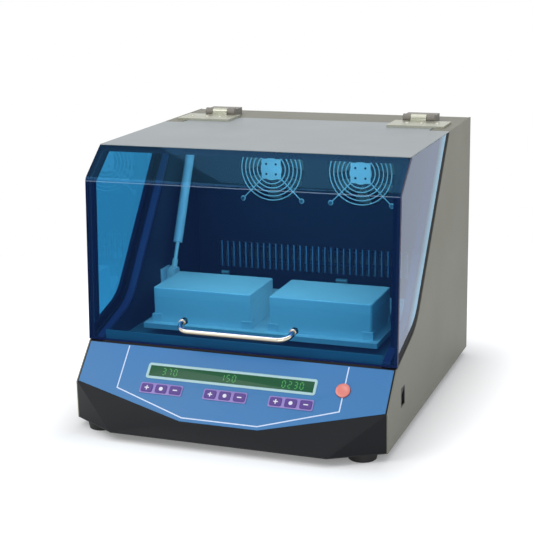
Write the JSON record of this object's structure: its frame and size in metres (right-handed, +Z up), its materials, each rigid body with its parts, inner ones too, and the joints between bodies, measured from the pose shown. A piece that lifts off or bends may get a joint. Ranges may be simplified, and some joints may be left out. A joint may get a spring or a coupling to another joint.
{
  "type": "shaking incubator",
  "caption": "Bench shaking incubator: a heated orbital platform under a tinted tilting hood, with a sloping key panel and display on a bowed front.",
  "frame": {"origin": "middle of the footprint on the bench, under the feet", "axes": "+X to the right seen from the front, +Y to the rear, +Z up"},
  "size_m": [0.48, 0.546, 0.4203],
  "materials": {
    "side_paint": "fine textured warm grey paint",
    "top_silver": "satin silver paint",
    "charcoal": "satin charcoal paint",
    "panel_blue": "printed blue panel face",
    "key_purple": "soft matt keys",
    "button_red": "gloss",
    "lens_green": "gloss tinted lens",
    "window_blue": "clear tinted acrylic",
    "strip_navy": "gloss",
    "rubber": "matt",
    "chrome": "polished",
    "steel": "brushed",
    "zinc": "satin zinc",
    "lining": "brushed stainless lining",
    "hinge_nickel": "satin nickel",
    "hinge_grey": "grey cast hinge block",
    "alu": "satin anodised",
    "box_white": "translucent white plastic",
    "black_plastic": "fine textured",
    "board_green": "circuit board",
    "board_white": "foam board"
  },
  "bodies": {
    "casing": {"base_pan": "zinc", "side_panel_left": "side_paint", "side_panel_right": "side_paint", "rear_cover": "side_paint", "front_fascia": "charcoal", "panel_overlay": "panel_blue", "display_window": "lens_green", "panel_board": "board_green", "chamber_floor": "lining", "chamber_walls": "lining", "chamber_rear_wall": "lining", "hood_gasket": "rubber", "hinge_rear_leaves": "hinge_grey", "strut_lower_bracket": "zinc", "bearing_housings": "alu", "drive_bearings": "steel", "motor": "black_plastic", "drive_belt": "rubber", "fan_housings": "black_plastic", "fan_guards": "chrome", "heater": "steel", "duct_divider": "board_white", "power_supply": "zinc", "control_board": "board_green", "mains_inlet": "black_plastic", "rocker_housing": "black_plastic", "feet": "rubber", "case_screws": "steel"},
    "hood": {"hood_top": "top_silver", "front_window": "window_blue", "side_windows": "window_blue", "corner_strips": "strip_navy", "handle": "chrome", "hinge_front_leaves": "hinge_nickel", "strut_upper_bracket": "zinc"},
    "strut_tube": {"strut_cylinder": "alu"},
    "strut_piston": {"strut_rod": "chrome"},
    "crank": {"main_crank": "steel"},
    "platform": {"platform_tray": "alu", "platform_hubs": "alu", "box_clips": "zinc", "sample_boxes": "box_white"},
    "idler_left": {"idler_crank_left": "steel"},
    "idler_right": {"idler_crank_right": "steel"},
    "motor_shaft": {"motor_pulley": "steel"},
    "fan_left": {"fan_rotor_left": "black_plastic"},
    "fan_right": {"fan_rotor_right": "black_plastic"},
    "start_button_cap": {"start_button": "button_red"},
    "rocker": {"power_rocker": "black_plastic"},
    "lid_left": {"box_lid_left": "box_white"},
    "lid_right": {"box_lid_right": "box_white"},
    "key_body_1": {"key_1": "key_purple"},
    "key_body_2": {"key_2": "key_purple"},
    "key_body_3": {"key_3": "key_purple"},
    "key_body_4": {"key_4": "key_purple"},
    "key_body_5": {"key_5": "key_purple"},
    "key_body_6": {"key_6": "key_purple"},
    "key_body_7": {"key_7": "key_purple"},
    "key_body_8": {"key_8": "key_purple"},
    "key_body_9": {"key_9": "key_purple"}
  },
  "joints": [
    {"name": "hood_tilt", "type": "hinge", "parent": "casing", "child": "hood", "pos_m": [0, 0.2, 0.414], "axis": [-1, 0, 0], "range_deg": [0, 55]},
    {"name": "strut_swing", "type": "hinge", "parent": "hood", "child": "strut_tube", "pos_m": [-0.2, 0.148, 0.397], "axis": [-1, 0, 0], "range_deg": [-62, 2]},
    {"name": "strut_stroke", "type": "slide", "parent": "strut_tube", "child": "strut_piston", "axis": [0, -0.4198, -0.9076], "range_m": [-0.002, 0.052]},
    {"name": "crank_spin", "type": "hinge", "parent": "casing", "child": "crank", "pos_m": [0, -0.05, 0.102], "axis": [0, 0, 1], "continuous": true},
    {"name": "platform_orbit", "type": "hinge", "parent": "crank", "child": "platform", "pos_m": [0.00342, -0.0594, 0.122], "axis": [0, 0, 1], "continuous": true},
    {"name": "idler_left_spin", "type": "hinge", "parent": "casing", "child": "idler_left", "pos_m": [-0.14, 0.09, 0.102], "axis": [0, 0, 1], "continuous": true},
    {"name": "idler_right_spin", "type": "hinge", "parent": "casing", "child": "idler_right", "pos_m": [0.14, 0.09, 0.102], "axis": [0, 0, 1], "continuous": true},
    {"name": "motor_spin", "type": "hinge", "parent": "casing", "child": "motor_shaft", "pos_m": [-0.15, -0.14, 0.082], "axis": [0, 0, 1], "continuous": true},
    {"name": "fan_left_spin", "type": "hinge", "parent": "casing", "child": "fan_left", "pos_m": [-0.078, 0.2, 0.322], "axis": [0, 1, 0], "continuous": true},
    {"name": "fan_right_spin", "type": "hinge", "parent": "casing", "child": "fan_right", "pos_m": [0.078, 0.2, 0.322], "axis": [0, 1, 0], "continuous": true},
    {"name": "key_1_press", "type": "slide", "parent": "casing", "child": "key_body_1", "axis": [0, 0.7214, -0.6925], "range_m": [0, 0.0006], "stiffness_N_per_m": 300},
    {"name": "key_2_press", "type": "slide", "parent": "casing", "child": "key_body_2", "axis": [0, 0.7214, -0.6925], "range_m": [0, 0.0006], "stiffness_N_per_m": 300},
    {"name": "key_3_press", "type": "slide", "parent": "casing", "child": "key_body_3", "axis": [0, 0.7214, -0.6925], "range_m": [0, 0.0006], "stiffness_N_per_m": 300},
    {"name": "key_4_press", "type": "slide", "parent": "casing", "child": "key_body_4", "axis": [0, 0.7214, -0.6925], "range_m": [0, 0.0006], "stiffness_N_per_m": 300},
    {"name": "key_5_press", "type": "slide", "parent": "casing", "child": "key_body_5", "axis": [0, 0.7214, -0.6925], "range_m": [0, 0.0006], "stiffness_N_per_m": 300},
    {"name": "key_6_press", "type": "slide", "parent": "casing", "child": "key_body_6", "axis": [0, 0.7214, -0.6925], "range_m": [0, 0.0006], "stiffness_N_per_m": 300},
    {"name": "key_7_press", "type": "slide", "parent": "casing", "child": "key_body_7", "axis": [0, 0.7214, -0.6925], "range_m": [0, 0.0006], "stiffness_N_per_m": 300},
    {"name": "key_8_press", "type": "slide", "parent": "casing", "child": "key_body_8", "axis": [0, 0.7214, -0.6925], "range_m": [0, 0.0006], "stiffness_N_per_m": 300},
    {"name": "key_9_press", "type": "slide", "parent": "casing", "child": "key_body_9", "axis": [0, 0.7214, -0.6925], "range_m": [0, 0.0006], "stiffness_N_per_m": 300},
    {"name": "start_press", "type": "slide", "parent": "casing", "child": "start_button_cap", "axis": [0, 0.7214, -0.6925], "range_m": [0, 0.001], "stiffness_N_per_m": 400},
    {"name": "rocker_tip", "type": "hinge", "parent": "casing", "child": "rocker", "pos_m": [0.232, -0.15, 0.069], "axis": [0, -1, 0], "range_deg": [0, 14]},
    {"name": "lid_left_lift", "type": "slide", "parent": "platform", "child": "lid_left", "axis": [0, 0, 1], "range_m": [0, 0.12]},
    {"name": "lid_right_lift", "type": "slide", "parent": "platform", "child": "lid_right", "axis": [0, 0, 1], "range_m": [0, 0.12]}
  ],
  "couplings": [
    {"joint": "strut_swing", "follows": "hood_tilt", "ratio": -1.06},
    {"joint": "strut_stroke", "follows": "hood_tilt", "m_per_rad": 0.048},
    {"joint": "platform_orbit", "follows": "crank_spin", "ratio": -1},
    {"joint": "idler_left_spin", "follows": "crank_spin", "ratio": 1},
    {"joint": "idler_right_spin", "follows": "crank_spin", "ratio": 1},
    {"joint": "motor_spin", "follows": "crank_spin", "ratio": 2.8571}
  ]
}
